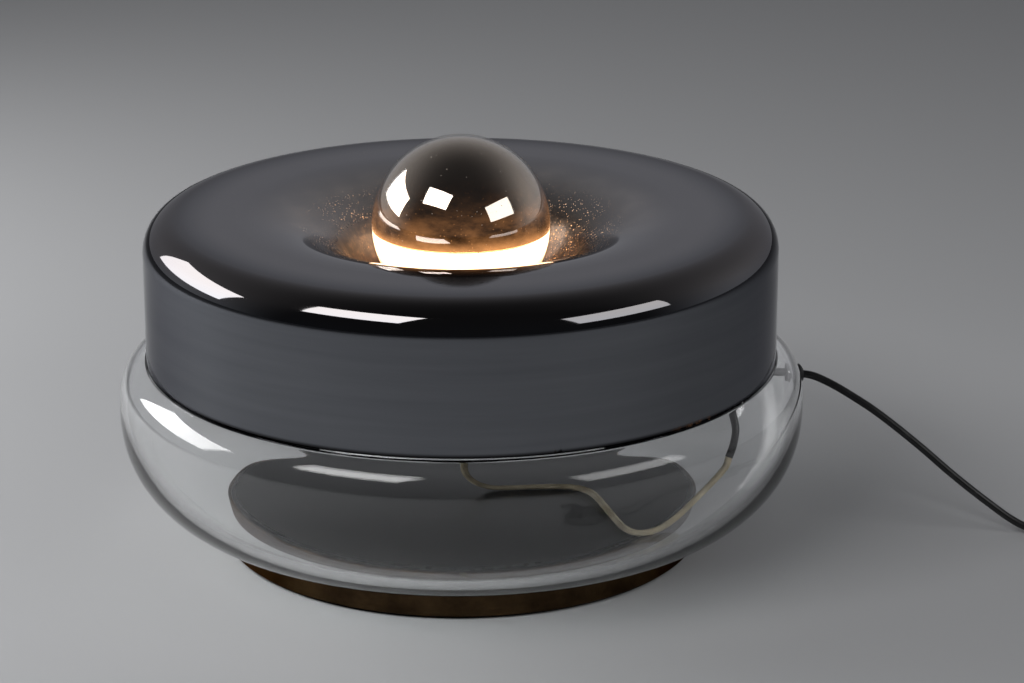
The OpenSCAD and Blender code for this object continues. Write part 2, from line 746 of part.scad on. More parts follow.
module switch_cover() {
    inside = switch_h - switch_wall;
    color("#1b1b1d") at_switch() difference() {
        union() {
            difference() {
                translate([0, 0, part_z]) linear_extrude(switch_h - part_z)
                    slab(switch_w, switch_l, switch_round);
                translate([0, 0, part_z - 1]) linear_extrude(inside - part_z + 1)
                    slab(switch_w - 2 * switch_wall, switch_l - 4 * switch_wall, switch_round - switch_wall);
            }
            for (s = [-1, 1]) translate([0, s * pillar_off, part_z])
                cylinder(r = pillar_r, h = switch_h - part_z - 0.5);
        }
        cord_entries();
        translate([0, 0, inside - 1]) linear_extrude(switch_wall + 2)
            square([rocker_w + 2 * rocker_gap, rocker_l + 4 * rocker_gap], center = true);
        for (s = [-1, 1]) translate([0, s * pillar_off, part_z - 1])
            cylinder(r = post_r + running, h = switch_h - part_z - switch_wall);
    }
}

// Tapered rubber sleeve that keeps the cord from kinking, with its thick end at the origin
module strain_relief() {
    rotate_extrude() polygon([
        [bore_r, 0], [relief_r, 0], [relief_r, 2], [bore_r + 0.8, relief_l], [bore_r, relief_l]
    ]);
}

module switch_reliefs() {
    color("#141416") at_switch() for (s = [-1, 1])
        translate([0, s * (switch_l / 2 + 0.1), part_z]) rotate([-90 * s, 0, 0]) strain_relief();
}

// The rocker is pressed down at its far end at rest: the lamp is on
module switch_rocker() {
    top = switch_h + rocker_rise - pivot_z;
    side = rocker_l / 2;
    color("#2c2c30") at_switch() translate([0, 0, pivot_z]) rotate([-rocker_swing / 2, 0, 0])
        rotate([90, 0, 90]) translate([0, 0, -rocker_w / 2]) linear_extrude(rocker_w) difference() {
            union() {
                polygon([[-side, top / 2], [-axle_r - 2, 0], [axle_r + 2, 0], [side, top / 2],
                         [side, top - 0.6], [side - 0.6, top], [0, top - 1.2], [0.6 - side, top],
                         [-side, top - 0.6]]);
                circle(r = axle_r + 2);
            }
            circle(r = axle_bore);
        }
}

module switch_axle() {
    color("#a9a8a4") at_switch() translate([-switch_w / 2 + switch_wall, 0, pivot_z])
        rotate([0, 90, 0]) cylinder(r = axle_r, h = switch_w - 2 * switch_wall);
}

// Brass bridge under the rocker, which closes the circuit
module switch_bridge() {
    color("#b08d4a") at_switch() translate([0, 0, pivot_z]) rotate([-rocker_swing / 2, 0, 0])
        translate([-2.5, -contact_off - 2, -axle_r - 2 - bridge_t]) cube([5, 2 * contact_off + 4, bridge_t]);
}

module switch_contacts() {
    color("#b08d4a") at_switch() for (s = [-1, 1])
        translate([-2, s * (contact_off + 1) - 2, switch_wall]) cube([4, 4, contact_top - switch_wall]);
}

module switch_screws() {
    color("#a9a8a4") at_switch() for (s = [-1, 1]) translate([0, s * pillar_off, 0.5]) difference() {
        union() {
            cylinder(r = post_head_r, h = post_head_h - 0.2);
            cylinder(r = post_r, h = switch_h - switch_wall - 3);
        }
        translate([-post_head_r, -0.4, -1]) cube([2 * post_head_r, 0.8, 1.6]);
    }
}

// Plug

module at_plug() {
    translate([plug_at.x, plug_at.y, plug_z]) rotate([0, 0, -90]) children();
}

// Flat body that widens from the cord to the pin face, with a waist for the fingers
module plug_body() {
    tail_w = 15;
    along = plug_l - 12;
    flare = (plug_w - tail_w) / 2;
    bend = 2 * atan(flare / along);
    waist_r = along / sin(bend);
    half = concat([[0, tail_w / 2]], arc([3, tail_w / 2 + waist_r], waist_r, -90, bend - 90),
        [[plug_l - 1, plug_w / 2], [plug_l, plug_w / 2 - 1]]);
    color("#18181a") at_plug() difference() {
        translate([0, 0, -plug_t / 2]) linear_extrude(plug_t)
            polygon(concat(half, [for (q = reversed(half)) [q.x, -q.y]]));
        translate([-1, 0, 0]) rotate([0, 90, 0]) cylinder(r = bore_r, h = entry_depth + 1 + clear);
        for (s = [-1, 1]) translate([plug_l - 8, s * pin_gap / 2, 0]) rotate([0, 90, 0])
            cylinder(r = pin_sleeve_r + running, h = 9);
    }
}

module plug_relief() {
    color("#141416") at_plug() translate([-0.1, 0, 0]) rotate([0, -90, 0]) strain_relief();
}

sleeve_l = 10;
pin_sleeve_r = pin_r - 0.25;
core_r = pin_sleeve_r - 0.55;

module plug_pins() {
    color("#c9a75c") at_plug() for (s = [-1, 1])
        translate([plug_l - 8 + clear, s * pin_gap / 2, 0]) rotate([0, 90, 0]) rotate_extrude() polygon([
            [0, 0], [core_r, 0], [core_r, 8 - clear + sleeve_l], [pin_r, 8 - clear + sleeve_l],
            [pin_r, 8 - clear + pin_l - 1], [pin_r - 1, 8 - clear + pin_l], [0, 8 - clear + pin_l]
        ]);
}

module plug_sleeves() {
    color("#18181a") at_plug() for (s = [-1, 1])
        translate([plug_l - 8 + clear, s * pin_gap / 2, 0]) rotate([0, 90, 0])
            ring_of(core_r + running, pin_sleeve_r, 0, 8 - clear + sleeve_l - running);
}

foot_felt();
base_band();
base_plate();
glass_pad();
clear_bowl();
cord_grommet();
mirror_shade();
washer_upper();
washer_lower();
ring_upper();
ring_lower();
holder_shell();
holder_insert();
screw_sleeve();
holder_cap();
lead_bush();
terminal_screws();
contact_button();
contact_spring();
bulb_globe();
bulb_crown();
bulb_screw_cap();
bulb_insulator();
bulb_tip();
bulb_stem();
bulb_wires();
bulb_hooks();
filament();
lead_sleeve();
inner_lead();
mains_cord();
cord_link();
cord_coil();
cord_tie();
cord_tail();
switch_base();
switch_cover();
switch_reliefs();
switch_rocker();
switch_axle();
switch_bridge();
switch_contacts();
switch_screws();
plug_body();
plug_relief();
plug_pins();
plug_sleeves();
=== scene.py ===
"""Looks for a squat glass floor lamp.

A clear bowl on a brass-banded foot carries a smoked mirror shade, whose funnel holds a crown-mirrored globe bulb.
Metres, +Z up, origin on the floor at the lamp's axis.
"""

import json
import math

import bmesh
import bpy
from mathutils import Matrix, Vector
from mathutils.geometry import interpolate_bezier

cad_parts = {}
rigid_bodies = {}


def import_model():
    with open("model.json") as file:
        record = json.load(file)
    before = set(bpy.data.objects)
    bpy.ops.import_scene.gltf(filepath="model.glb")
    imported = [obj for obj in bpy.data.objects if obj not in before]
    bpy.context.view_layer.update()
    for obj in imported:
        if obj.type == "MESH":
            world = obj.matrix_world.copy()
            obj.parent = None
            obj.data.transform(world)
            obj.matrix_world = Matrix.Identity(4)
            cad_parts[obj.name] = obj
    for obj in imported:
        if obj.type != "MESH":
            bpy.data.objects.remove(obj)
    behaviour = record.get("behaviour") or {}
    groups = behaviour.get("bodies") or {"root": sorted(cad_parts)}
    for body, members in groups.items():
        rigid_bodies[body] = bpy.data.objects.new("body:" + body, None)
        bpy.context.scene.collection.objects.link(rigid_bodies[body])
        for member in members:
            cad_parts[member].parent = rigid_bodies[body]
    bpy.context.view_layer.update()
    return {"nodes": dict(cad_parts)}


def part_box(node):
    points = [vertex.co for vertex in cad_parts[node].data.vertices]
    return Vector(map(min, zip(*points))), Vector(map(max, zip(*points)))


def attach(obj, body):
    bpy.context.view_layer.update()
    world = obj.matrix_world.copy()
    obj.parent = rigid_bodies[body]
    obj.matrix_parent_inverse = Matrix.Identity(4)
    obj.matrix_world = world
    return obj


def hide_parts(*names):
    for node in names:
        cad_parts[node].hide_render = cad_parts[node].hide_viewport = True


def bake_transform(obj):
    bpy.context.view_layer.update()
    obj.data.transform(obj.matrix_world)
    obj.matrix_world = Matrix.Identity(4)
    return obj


for leftover in list(bpy.data.objects):
    bpy.data.objects.remove(leftover)

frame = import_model()
nodes = frame["nodes"]
MM = 0.001


def mm(*lengths):
    """Millimetres as a point or a list of metres."""
    return tuple(length * MM for length in lengths)


# Sizes that the frame gives

shade_low, shade_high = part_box("mirror_shade")
globe_low, globe_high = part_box("bulb_globe")
band_low, band_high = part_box("base_band")
SHADE_R = shade_high.x
SHADE_TOP = shade_high.z
SEAT_Z = shade_low.z
GLOBE_R = globe_high.x
GLOBE_Z = globe_high.z - GLOBE_R
FOOT_R = band_high.x
FOOT_LOW, FOOT_TOP = band_low.z, band_high.z

# Sizes repeated from the part's source

BOWL_WALL = 5 * MM
BOWL_FLOOR = 8 * MM
BOWL_H = 111.5 * MM
LOW_ROUND = 72 * MM
TOP_ROUND = 21 * MM
NECK_H = 10 * MM
NECK_WALL = 4 * MM
SHADE_SLIP = 0.3 * MM
HOLE_R = 6.15 * MM
SHADE_WALL = 4 * MM
SHADE_ROUND = 23 * MM
MOUTH_R = 155 * MM
MOUTH_ROUND = 128 * MM
DISH_SLOPE = 30
LIP_ROUND = 35 * MM
FUNNEL_SLOPE = 60
FUNNEL_DEPTH = 89 * MM
THROAT_ROUND = 12 * MM
SHADE_HOLE_R = 20.5 * MM
GLOBE_WALL = 0.9 * MM
NECK_ROUND = 16 * MM
NECK_ANGLE = 68
MIRROR_OVERLAP = 1.5 * MM
MIRROR_T = 0.4 * MM
CORD_R = 2.75 * MM
LEAD_R = 2.5 * MM

# Sizes of the dressed shapes alone

HOLD_GAP = 0.3 * MM
SHADE_EDGE = 1.2 * MM
NECK_LIP = 1.4 * MM
SEAT_SLACK = 0.8 * MM
BOWL_RING = 1.2 * MM
EASING_TIMES = 90
CROWN_GAP = 0.2 * MM
GLOW_GAP = 0.4 * MM
GLOW_START = 2.4
GLOW_SHORT = 6
BAND_EASE = 1 * MM
BAND_WALL = 3 * MM
DRILL_DEPTH = 20 * MM

# The cord's stations, in millimetres as in the part's source

BOWL_R = 238
HOLE_Z = 106
SLEEVE_Z = 110
CORD_SIDE = 5
SWITCH_X, SWITCH_Y, SWITCH_L = 426, -123, 62
SWITCH_NEAR, SWITCH_FAR = SWITCH_Y - SWITCH_L / 2, SWITCH_Y + SWITCH_L / 2
ENTRY_Z, ENTRY_DEPTH, RELIEF_L = 7, 5, 20
FLOOR_Z = 2.8
COIL_X, COIL_Y, COIL_Z, COIL_R, COIL_STEP, COIL_TURNS = 207.5, -365, 3.8, 42.5, 6.2, 6
COIL_SIDE = COIL_X + COIL_R
PLUG_X, PLUG_Y, PLUG_Z = 236, -442.5, 6.85
CAP_LOW = 88
LEAD_LOW = 32.2


# Shapes


class Section:
    """A half section of a turned piece, drawn in the XZ plane and then turned about the lamp's axis."""

    def __init__(self, r, z):
        self.bm = bmesh.new()
        self.first = self.last = self.bm.verts.new((r, 0, z))

    def line(self, r, z, pieces=0):
        """A straight run to a point: in even pieces, or held flat by an extra ring close to each of its ends."""
        start, end = self.last.co.copy(), Vector((r, 0, z))
        way = end - start
        hold = HOLD_GAP / max(way.length, 1e-9)
        shares = [hold, 1 - hold, 1] if hold < 0.2 else [1]
        if pieces:
            shares = [(i + 1) / pieces for i in range(pieces)]
        for share in shares:
            made = bmesh.ops.extrude_vert_indiv(self.bm, verts=[self.last])
            self.last = made["verts"][0]
            self.last.co = start + way * share
        return self

    def bend(self, r, z, degrees, fineness=2.5):
        """An arc about a centre; positive runs from +r towards +z."""
        made = bmesh.ops.spin(
            self.bm, geom=[self.last], cent=(r, 0, z), axis=(0, -1, 0), angle=math.radians(degrees),
            steps=max(2, round(abs(degrees) / fineness)), use_duplicate=False)
        self.last = made["geom_last"][0]
        return self

    def eased(self, first, times):
        """Lets the curvature change gradually from the point numbered first to the last one."""
        between = list(self.bm.verts)[first:-1]
        for _ in range(times):
            bmesh.ops.smooth_vert(self.bm, verts=between, factor=0.5, use_axis_x=True, use_axis_y=True, use_axis_z=True)
        return self

    def turned(self, steps=192, closed=True):
        """The whole piece, as a bmesh."""
        if closed:
            self.bm.edges.new((self.last, self.first))
        bmesh.ops.spin(
            self.bm, geom=self.bm.verts[:] + self.bm.edges[:], cent=(0, 0, 0), axis=(0, 0, 1),
            angle=math.tau, steps=steps, use_merge=True, use_duplicate=False)
        bmesh.ops.remove_doubles(self.bm, verts=self.bm.verts, dist=1e-6)
        bmesh.ops.recalc_face_normals(self.bm, faces=self.bm.faces)
        return self.bm


def add_piece(name, shape, look, body, stands_for=(), crease=40):
    """Puts a bmesh or a mesh in the scene as a piece of the lamp."""
    mesh = shape
    if isinstance(shape, bmesh.types.BMesh):
        mesh = bpy.data.meshes.new(name)
        shape.to_mesh(mesh)
        shape.free()
    mesh.shade_smooth()
    mesh.set_sharp_from_angle(angle=math.radians(crease))
    mesh.materials.clear()
    mesh.materials.append(look.material)
    piece = bpy.data.objects.new(name, mesh)
    bpy.context.scene.collection.objects.link(piece)
    if body:
        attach(piece, body)
    if stands_for:
        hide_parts(*stands_for)
    return piece


def smooth_path(route, pieces=6):
    """A smooth line through a route's points in millimetres, in metres."""
    points = [Vector(mm(*p)) for p in route]
    path = [points[0]]
    for i in range(len(points) - 1):
        before, start, end, after = (points[max(i - 1, 0)], points[i], points[i + 1],
                                     points[min(i + 2, len(points) - 1)])
        span = (end - start).length
        leave = (end - before).normalized() * span / 3
        arrive = (after - start).normalized() * span / 3
        path += interpolate_bezier(start, start + leave, end - arrive, end, pieces + 1)[1:]
    return path


def tube_mesh(name, path, radius, sides=5):
    """A round tube along a path, with its length in U or V."""
    curve = bpy.data.curves.new(name, "CURVE")
    curve.dimensions = "3D"
    curve.bevel_depth = radius
    curve.bevel_resolution = sides
    curve.use_fill_caps = True
    spline = curve.splines.new("POLY")
    spline.points.add(len(path) - 1)
    for point, place in zip(spline.points, path):
        point.co = (*place, 1)
    holder = bpy.data.objects.new(name + "_line", curve)
    bpy.context.scene.collection.objects.link(holder)
    depsgraph = bpy.context.evaluated_depsgraph_get()
    mesh = bpy.data.meshes.new_from_object(holder.evaluated_get(depsgraph), depsgraph=depsgraph)
    bpy.data.objects.remove(holder)
    bpy.data.curves.remove(curve)
    mesh.name = name
    return mesh


def path_length(path):
    """The length of a path, in metres."""
    return sum((b - a).length for a, b in zip(path, path[1:]))


# Looks


class Wire:
    """One output of a material's nodes. Arithmetic on it adds Math nodes."""

    def __init__(self, look, socket):
        self.look, self.socket = look, socket

    def _math(self, operation, first, second=0.0):
        return self.look.node("Math", {"operation": operation}, {0: first, 1: second})

    def __add__(self, other):
        return self._math("ADD", self, other)

    def __sub__(self, other):
        return self._math("SUBTRACT", self, other)

    def __mul__(self, other):
        return self._math("MULTIPLY", self, other)

    def __pow__(self, other):
        return self._math("POWER", self, other)

    def __radd__(self, other):
        return self._math("ADD", other, self)

    def __rsub__(self, other):
        return self._math("SUBTRACT", other, self)

    def __lt__(self, other):
        return self._math("LESS_THAN", self, other)

    def rise(self, low, high):
        """0 below low, 1 above high, smooth between; low above high turns it round."""
        return self.look.node(
            "MapRange", {"interpolation_type": "SMOOTHSTEP"},
            {"Value": self, "From Min": low, "From Max": high, "To Min": 0.0, "To Max": 1.0})


class Look:
    """A material with one Principled shader, and the nodes that feed it."""

    def __init__(self, name, finish):
        self.material = bpy.data.materials.new(name)
        self.material.use_nodes = True
        self.tree = self.material.node_tree
        self.shader = self.tree.nodes["Principled BSDF"]
        self.finish(finish)

    def node(self, kind, settings, inputs, output=0):
        """Any node: its settings first, then the values or links of its sockets."""
        made = self.tree.nodes.new("ShaderNode" + kind)
        for name, value in settings.items():
            setattr(made, name, value)
        self.feed(made, inputs)
        return Wire(self, made.outputs[output])

    def feed(self, made, inputs):
        """Sets or links the sockets of a node."""
        for name, value in inputs.items():
            socket = made.inputs[name]
            if isinstance(value, Wire):
                self.tree.links.new(value.socket, socket)
            elif isinstance(value, tuple) and len(value) == 3 and socket.type == "RGBA":
                socket.default_value = (*value, 1.0)
            else:
                socket.default_value = value

    def finish(self, inputs):
        """Sets or links the Principled shader's sockets."""
        self.feed(self.shader, inputs)
        return self

    def show(self, shader):
        """Sends a shader other than the Principled one to the output."""
        self.tree.links.new(shader.socket, self.tree.nodes["Material Output"].inputs["Surface"])

    def place(self, scale=None):
        """Object coordinates, stretched by a scale."""
        wire = self.node("TexCoord", {}, {}, "Object")
        return self.node("Mapping", {}, {"Vector": wire, "Scale": scale}) if scale else wire

    def axes(self, place):
        """The three parts of a place, one by one."""
        split = self.node("SeparateXYZ", {}, {"Vector": place}).socket.node
        return [Wire(self, output) for output in split.outputs]

    def noise(self, place, scale, detail=2.0, roughness=0.5):
        return self.node("TexNoise", {}, {"Vector": place, "Scale": scale, "Detail": detail,
                                          "Roughness": roughness})

    def cells(self, place, scale, output="Distance"):
        return self.node("TexVoronoi", {}, {"Vector": place, "Scale": scale}, output)

    def lot(self, place, scale):
        """A random number for each cell."""
        colour = self.cells(place, scale, "Color")
        return self.node("SeparateColor", {}, {"Color": colour})

    def either(self, first, second):
        """The larger of two shares."""
        return self.node("Math", {"operation": "MAXIMUM"}, {0: first, 1: second})

    def far_from(self, place, point):
        return self.node("VectorMath", {"operation": "DISTANCE"}, {0: place, 1: point}, "Value")

    def mix(self, share, first, second):
        return self.node("Mix", {"data_type": "RGBA"}, {"Factor": share, 6: first, 7: second}, 2)

    def bump(self, height, strength, distance):
        self.finish({"Normal": self.node("Bump", {}, {"Height": height, "Strength": strength,
                                                      "Distance": distance})})
        return self


SMOKE_DARK, SMOKE_LIGHT = (0.095, 0.101, 0.116), (0.200, 0.207, 0.223)
# Lighter mirror tints for the shade's top: painted light, so the top reads more brightly lit than its wall.
BRIGHTENED_TOP_DARK, BRIGHTENED_TOP_LIGHT = (0.300, 0.295, 0.305), (0.370, 0.362, 0.372)
RIM_BROWN = (0.153, 0.131, 0.120)
EDGE_BLACK, WORN_BROWN, CHIP_WHITE = (0.02, 0.02, 0.022), (0.20, 0.085, 0.03), (0.8, 0.79, 0.77)
# The second tint here is a painted reflection: the bulb's dark mirror image on the funnel's right.
DEEP_BROWN, BULB_REFLECTION_BROWN = (0.06, 0.04, 0.03), (0.012, 0.009, 0.007)
# The warm dust colour is real dust with the bulb's warm light painted in; the last colour is a painted glint.
DUST_PALE, DUST_WARM_PAINTED_LIGHT, DUST_PAINTED_GLINT = (0.80, 0.68, 0.58), (0.85, 0.52, 0.30), (0.75, 0.34, 0.12)
NO_LIGHT = (0.0, 0.0, 0.0)
WORN_PLACE = mm(155, -153, 133)


def smoked_mirror():
    """Mirrored smoke-grey glass: faint bands from the blowing, smears, dust in the funnel, a worn lower edge.

    The funnel's right side is painted darker: a painted reflection that stands for the bulb's dark mirror image.
    """
    look = Look("smoked_mirror", {"Metallic": 1.0, "Coat Weight": 0.12, "Coat Roughness": 0.02,
                                  "Specular Tint": (0.5, 0.5, 0.52), "Emission Strength": 1.0})
    place = look.place()
    x, y, z = look.axes(place)
    radius = (x * x + y * y) ** 0.5
    cloud = look.noise(place, 6.0, 3.0)
    bands = look.noise(look.place((0.6, 0.6, 14.0)), 9.0, 4.0, 0.6)
    smear = look.noise(look.place((1.0, 1.0, 5.0)), 14.0, 4.0)
    tint = look.mix(bands * 0.6 + cloud * 0.4, SMOKE_DARK, SMOKE_LIGHT)
    # Painted light: the top gets a lighter mirror tint than the wall, so it reads more brightly lit.
    brightened_top_tint = look.mix(cloud, BRIGHTENED_TOP_DARK, BRIGHTENED_TOP_LIGHT)
    # Painted reflection: the funnel's right side is kept out of the lighter top tint, for the bulb's dark mirror image.
    behind = radius.rise(0.130, 0.100) * x.rise(0.0, 0.04)
    tint = look.mix(radius.rise(0.205, 0.168) * (1.0 - behind), tint, brightened_top_tint)
    rim = z.rise(SHADE_TOP - 22 * MM, SHADE_TOP - 6 * MM) * radius.rise(0.185, 0.205)
    tint = look.mix(rim * 0.6, tint, RIM_BROWN)

    wiped = y.rise(-0.025, -0.065)
    dish = radius.rise(0.150, 0.106) * (1.0 - wiped * 0.9)
    funnel = radius.rise(0.128, 0.090) * (1.0 - wiped)
    deep = radius.rise(0.096, 0.078) * (1.0 - wiped)
    # Painted reflection: the funnel's right side is painted near black, for the bulb's dark mirror image.
    bulb_reflection_mask = radius.rise(0.108, 0.084) * (1.0 - wiped) * x.rise(0.02, 0.06)
    patch = look.noise(place, 26.0, 3.0).rise(0.36, 0.54)
    coarse = (look.cells(place, 260.0) < 0.15) * (look.lot(place, 260.0) < 0.4)
    fine = (look.cells(place, 620.0) < 0.2) * (look.lot(place, 620.0) < 0.5)
    dust = funnel * patch * look.either(coarse, fine)
    haze = dish * (0.13 + look.noise(place, 38.0, 4.0).rise(0.4, 0.8) * 0.10)
    haze = haze * (1.0 - deep * 0.5) + deep * look.noise(place, 240.0, 4.0, 0.7).rise(0.42, 0.7) * 0.2

    edge = z.rise(SEAT_Z + 4.5 * MM, SEAT_Z + 2 * MM)
    worn = z.rise(SEAT_Z + 4 * MM, SEAT_Z + 2.6 * MM) * look.far_from(place, WORN_PLACE).rise(30 * MM, 8 * MM)
    worn = worn * look.noise(place, 90.0, 3.0, 0.6).rise(0.42, 0.6)
    chips = edge * (look.cells(place, 130.0) < 0.10) * (look.lot(place, 130.0) < 0.3)
    tint = look.mix(edge, tint, EDGE_BLACK)
    tint = look.mix(worn, tint, WORN_BROWN)
    tint = look.mix(chips, tint, CHIP_WHITE)
    tint = look.mix(deep * 0.6, tint, DEEP_BROWN)
    tint = look.mix(bulb_reflection_mask * 0.85, tint, BULB_REFLECTION_BROWN)
    # Dust deep in the funnel is real dust tinted warm: the bulb's warm light painted into it.
    tint = look.mix(look.either(dust, haze), tint, look.mix(deep, DUST_PALE, DUST_WARM_PAINTED_LIGHT))
    bare = look.either(look.either(dust, haze), look.either(worn, chips))
    look.finish({
        "Base Color": tint,
        "Metallic": 1.0 - bare,
        "Roughness": 0.03 + smear.rise(0.45, 0.8) * 0.04 + funnel * 0.09 + deep * 0.17 + bare * 0.4,
        # Painted glint: dust near the bulb glows orange, for the bulb's light caught on it.
        "Emission Color": look.mix(dust * radius.rise(0.125, 0.085), NO_LIGHT, DUST_PAINTED_GLINT),
    })
    return look.bump(look.noise(look.place((1.0, 1.0, 4.0)), 9.0, 2.0), 0.02, 0.002)


def clear_glass():
    """Thick blown glass, a little wavy and dusty on its floor, which lets the studio lamps through to what it holds."""
    look = Look("clear_glass", {"Base Color": (0.985, 0.99, 0.99), "Transmission Weight": 1.0, "IOR": 1.47})
    place = look.place()
    x, y, z = look.axes(place)
    floor_z = FOOT_TOP + BOWL_FLOOR
    dusty = z.rise(floor_z + 2 * MM, floor_z + 0.5 * MM) * ((x * x + y * y) ** 0.5).rise(0.168, 0.158)
    look.finish({"Roughness": dusty * 0.32})
    look.bump(look.noise(place, 5.0, 1.0), 0.02, 0.004)
    lamp_ray = look.node("LightPath", {}, {}, "Is Shadow Ray")
    through = look.node("BsdfTransparent", {}, {"Color": (0.9, 0.91, 0.91)})
    look.show(look.node("MixShader", {}, {"Fac": lamp_ray, 1: Wire(look, look.shader.outputs[0]), 2: through}))
    return look


def lit_glass():
    """The bulb's thin glass: clear where one looks straight through it, glossy at its rim."""
    look = Look("lit_glass", {"Base Color": (1.0, 1.0, 1.0), "Roughness": 0.0, "Metallic": 0.0, "IOR": 1.45})
    facing = look.node("LayerWeight", {}, {"Blend": 0.5}, "Facing")
    through = look.node("BsdfTransparent", {}, {})
    gloss = look.node("BsdfGlossy", {}, {"Roughness": 0.0})
    look.show(look.node("MixShader", {}, {"Fac": 0.03 + facing ** 5.0 * 0.6, 1: through, 2: gloss}))
    return look


HOT_HIGH, HOT_LOW = (1.0, 0.72, 0.44), (0.22, 0.08, 0.022)


def glowing_liner():
    """The hot light in the bulb's clear lower half, brightest just below the silvering."""
    look = Look("glowing_liner", {"Base Color": (0.9, 0.8, 0.65), "Roughness": 0.6, "Emission Strength": 4.5})
    _, _, z = look.axes(look.place())
    low = z.rise(GLOBE_Z - 9 * MM, GLOBE_Z - 30 * MM)
    look.finish({"Emission Color": look.mix(low, HOT_HIGH, HOT_LOW)})
    return look


CROWN_DARK, CROWN_LIGHT, CROWN_LEAK = (0.47, 0.39, 0.315), (0.57, 0.49, 0.41), (1.0, 0.42, 0.14)


def crown_mirror():
    """The silvered crown of the bulb: its thin lower edge lets some of the hot light through, in streaks and specks."""
    look = Look("crown_mirror", {"Emission Strength": 1.0})
    place = look.place()
    _, _, z = look.axes(place)
    haze = look.noise(place, 30.0, 3.0)
    thin = z.rise(GLOBE_Z + 58 * MM, GLOBE_Z - 8 * MM)
    hot = z.rise(GLOBE_Z + 9 * MM, GLOBE_Z - 3 * MM)
    cloud = look.noise(look.place((1.0, 1.0, 2.0)), 45.0, 5.0, 0.65).rise(0.3, 0.75)
    specks = (look.cells(place, 420.0) < 0.16) * (look.lot(place, 420.0) < 0.4)
    grit = (look.cells(place, 300.0) < 0.10) * (look.lot(place, 300.0) < 0.25)
    leak = thin ** 2.6 * (0.05 + cloud * 0.40) + thin * thin * specks * 0.5 + hot * hot * 0.6
    look.finish({
        "Base Color": look.mix(haze, CROWN_DARK, CROWN_LIGHT),
        "Metallic": 1.0 - grit,
        "Roughness": 0.012 + haze * 0.03 + grit * 0.5,
        "Emission Color": look.mix(leak, NO_LIGHT, CROWN_LEAK),
    })
    return look


BRASS_DARK, BRASS_LIGHT = (0.032, 0.019, 0.010), (0.088, 0.054, 0.026)


def aged_brass():
    """Brown, handled brass: darker blotches, fine rubbing round the band."""
    look = Look("aged_brass", {"Metallic": 1.0, "Specular Tint": (0.40, 0.33, 0.26)})
    place = look.place()
    blotch = look.noise(place, 26.0, 5.0, 0.65)
    rub = look.noise(look.place((1.0, 1.0, 40.0)), 30.0, 3.0)
    tint = look.mix(blotch.rise(0.35, 0.7), BRASS_DARK, BRASS_LIGHT)
    look.finish({"Base Color": tint, "Roughness": 0.3 + blotch.rise(0.3, 0.8) * 0.25})
    return look.bump(rub + blotch * 0.6, 0.12, 0.001)


def plain(name, colour, roughness, metallic=0.0, grain=300.0, depth=0.05, spread=0.25, coat=0.0):
    """A moulded, cast or woven finish: one colour with a grain of its own."""
    look = Look(name, {"Metallic": metallic, "Coat Weight": coat, "Coat Roughness": 0.08})
    place = look.place()
    fine = look.noise(place, grain, 4.0)
    broad = look.noise(place, grain / 12, 2.0)
    dark = tuple(c * (1 - spread) for c in colour)
    light = tuple(min(1.0, c * (1 + spread)) for c in colour)
    look.finish({"Base Color": look.mix((fine + broad) * 0.5, dark, light),
                 "Roughness": (roughness - 0.06) + broad * 0.12})
    return look.bump(fine, depth, 0.001)


def felt(name, colour):
    """Short matted fibres."""
    look = Look(name, {"Roughness": 0.95, "Sheen Weight": 0.02, "Sheen Roughness": 0.5})
    place = look.place()
    fibre = look.noise(place, 900.0, 5.0, 0.7)
    tuft = look.noise(place, 120.0, 3.0)
    dark = tuple(c * 0.6 for c in colour)
    look.finish({"Base Color": look.mix(fibre * 0.6 + tuft * 0.4, dark, colour)})
    return look.bump(fibre + tuft * 0.5, 0.5, 0.0015)


BRAID_CLEAN, BRAID_SOILED, BRAID_GAP = (0.80, 0.72, 0.54), (0.60, 0.50, 0.33), (0.36, 0.30, 0.19)


def braided_lead():
    """Cream braid of a heat-proof lead: two sets of strands that cross."""
    look = Look("braided_lead", {"Roughness": 0.75})
    u, v, _ = look.axes(look.node("UVMap", {"uv_map": "UVMap"}, {}))
    strands, laps = 8.0, 120.0
    left = look.node("Math", {"operation": "SINE"}, {0: (u * strands + v * laps) * math.tau})
    right = look.node("Math", {"operation": "SINE"}, {0: (u * strands - v * laps) * math.tau})
    weave = look.either(left, right).rise(-0.2, 1.0)
    soil = look.noise(look.place(), 60.0, 4.0)
    light = look.mix(soil.rise(0.4, 0.75), BRAID_CLEAN, BRAID_SOILED)
    look.finish({"Base Color": look.mix(weave, BRAID_GAP, light)})
    return look.bump(weave, 0.5, 0.0006)


SHEATH_BLACK, SHEATH_SCUFF = (0.010, 0.010, 0.011), (0.03, 0.03, 0.032)


def cord_sheath():
    """Glossy black sheath with faint scuffs."""
    look = Look("cord_sheath", {})
    scuff = look.noise(look.place(), 180.0, 4.0)
    look.finish({"Base Color": look.mix(scuff.rise(0.5, 0.8), SHEATH_BLACK, SHEATH_SCUFF),
                 "Roughness": 0.24 + scuff * 0.18})
    return look.bump(scuff, 0.06, 0.0005)


